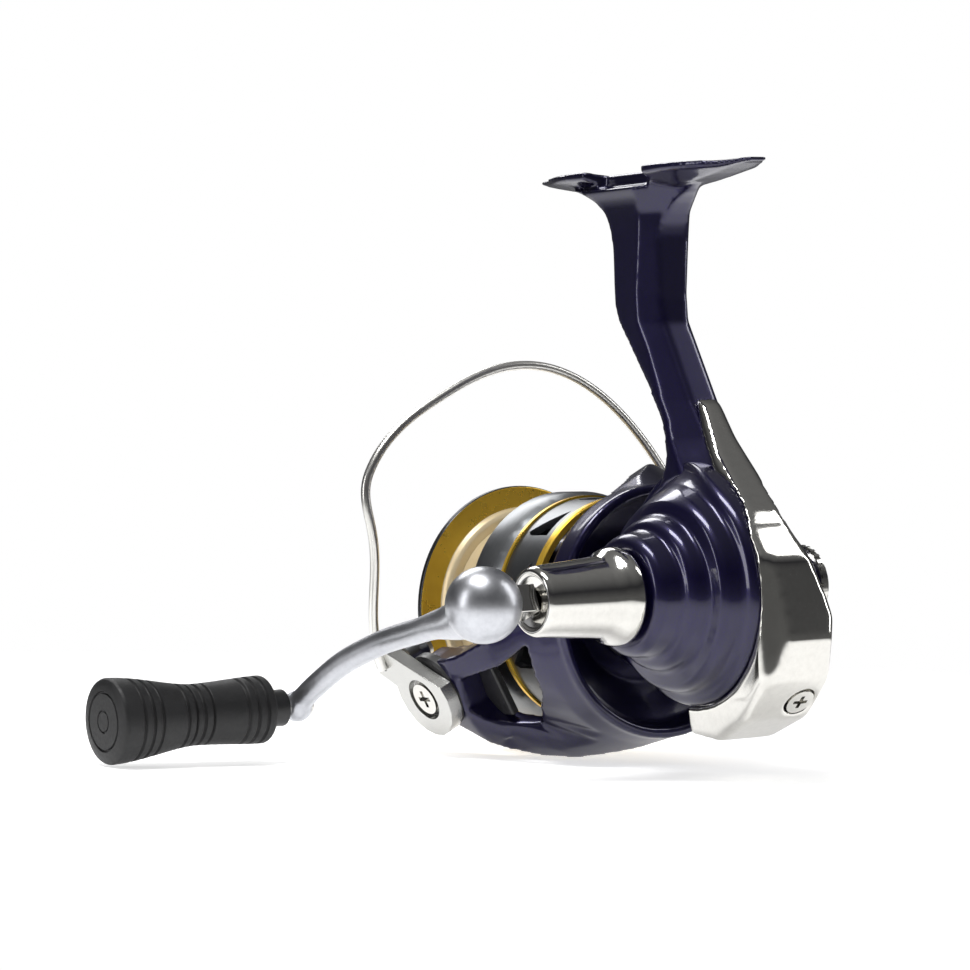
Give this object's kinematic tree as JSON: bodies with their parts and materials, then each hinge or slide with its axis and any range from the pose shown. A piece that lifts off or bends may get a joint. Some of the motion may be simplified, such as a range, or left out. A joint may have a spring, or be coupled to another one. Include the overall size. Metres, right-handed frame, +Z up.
{
  "type": "spinning reel",
  "caption": "Front-drag spinning fishing reel with a T-shaped foot, folding crank, line spool, spinning rotor and flip-over wire bail.",
  "frame": {"origin": "middle of the flat land on top of the foot, where it rests against the rod's reel seat", "axes": "+X forward along the spool axis and the rod, +Y towards the crank, +Z up to the rod"},
  "size_m": [0.1011, 0.1316, 0.1043],
  "materials": {
    "navy_paint": "gloss metallic",
    "bright_chrome": "polished",
    "steel": "satin",
    "brass": "machined",
    "black_plastic": "satin",
    "grey_plastic": "satin",
    "black_rubber": "matt",
    "satin_alloy": "satin",
    "grey_metal": "satin anodised",
    "gold_alloy": "gold anodised"
  },
  "bodies": {
    "frame": {"housing": "navy_paint", "side_cover": "navy_paint", "rear_cover": "bright_chrome", "cover_screws": "bright_chrome", "side_screw": "steel", "drive_bearing_left": "steel", "drive_bearing_right": "steel", "pinion_bearing": "steel", "pinion_bush": "brass", "clutch_body": "black_plastic", "clutch_screws": "steel", "guide_rod": "steel"},
    "handle": {"drive_gear": "brass", "oscillation_pinion": "brass", "crank_shaft": "steel", "crank_sleeve": "bright_chrome", "sleeve_seal": "black_rubber"},
    "crank": {"crank_arm": "satin_alloy", "fold_pin": "steel", "knob_post": "steel", "knob_washer": "black_plastic"},
    "knob": {"knob_grip": "black_rubber", "knob_cap": "black_rubber", "knob_bushes": "brass"},
    "handle_cap": {"handle_cap": "bright_chrome"},
    "oscillation_gear": {"oscillation_gear": "brass"},
    "shaft": {"main_shaft": "steel", "slider": "grey_plastic", "slider_plate": "steel", "click_wheel": "grey_plastic"},
    "rotor": {"rotor": "navy_paint", "pinion_gear": "brass", "clutch_sleeve": "steel", "rotor_nut": "brass", "nut_lock": "steel", "arm_covers": "black_plastic", "bail_spring": "steel"},
    "bail": {"bail_arm": "bright_chrome", "bail_wire": "steel", "bail_lever": "bright_chrome", "bail_screws": "bright_chrome", "roller_screw": "steel"},
    "line_roller": {"line_roller": "grey_metal"},
    "spool": {"spool": "grey_metal", "spool_lip": "gold_alloy", "skirt_rings": "gold_alloy", "drag_washers": "grey_metal", "drag_retainer": "steel", "line_clip": "gold_alloy"},
    "drag_knob": {"drag_knob": "black_plastic", "drag_nut": "brass", "drag_spring": "steel"}
  },
  "joints": [
    {"name": "crank_turn", "type": "hinge", "parent": "frame", "child": "handle", "pos_m": [-0.022, 0.02, -0.0728], "axis": [0, 1, 0], "continuous": true},
    {"name": "arm_fold", "type": "hinge", "parent": "handle", "child": "crank", "pos_m": [-0.022, 0.0527, -0.0728], "axis": [0.3518, 0, 0.9361], "range_deg": [0, 90]},
    {"name": "knob_turn", "type": "hinge", "parent": "crank", "child": "knob", "pos_m": [0.02574, 0.083, -0.09074], "axis": [0, 1, 0], "continuous": true},
    {"name": "cap_turn", "type": "hinge", "parent": "handle", "child": "handle_cap", "pos_m": [-0.022, -0.0145, -0.0728], "axis": [0, 1, 0], "range_deg": [-720, 0]},
    {"name": "rotor_turn", "type": "hinge", "parent": "frame", "child": "rotor", "pos_m": [0.008, 0, -0.077], "axis": [1, 0, 0], "continuous": true},
    {"name": "oscillation_turn", "type": "hinge", "parent": "frame", "child": "oscillation_gear", "pos_m": [-0.024, -0.005, -0.08157], "axis": [0, 1, 0], "continuous": true},
    {"name": "shaft_slide", "type": "slide", "parent": "frame", "child": "shaft", "axis": [1, 0, 0], "range_m": [-0.0045, 0.0045]},
    {"name": "spool_turn", "type": "hinge", "parent": "shaft", "child": "spool", "pos_m": [0.03, 0, -0.077], "axis": [1, 0, 0], "continuous": true},
    {"name": "drag_knob_turn", "type": "hinge", "parent": "shaft", "child": "drag_knob", "pos_m": [0.05, 0, -0.077], "axis": [1, 0, 0], "range_deg": [-360, 180]},
    {"name": "bail_open", "type": "hinge", "parent": "rotor", "child": "bail", "pos_m": [0.031, 0, -0.077], "axis": [0, 0.8988, -0.4384], "range_deg": [0, 112]},
    {"name": "roller_turn", "type": "hinge", "parent": "bail", "child": "line_roller", "pos_m": [0.0385, 0.02824, -0.08388], "axis": [0, 0.8988, -0.4384], "continuous": true}
  ],
  "couplings": [
    {"joint": "rotor_turn", "follows": "crank_turn", "ratio": -5.2857},
    {"joint": "oscillation_turn", "follows": "crank_turn", "ratio": -0.66667}
  ]
}
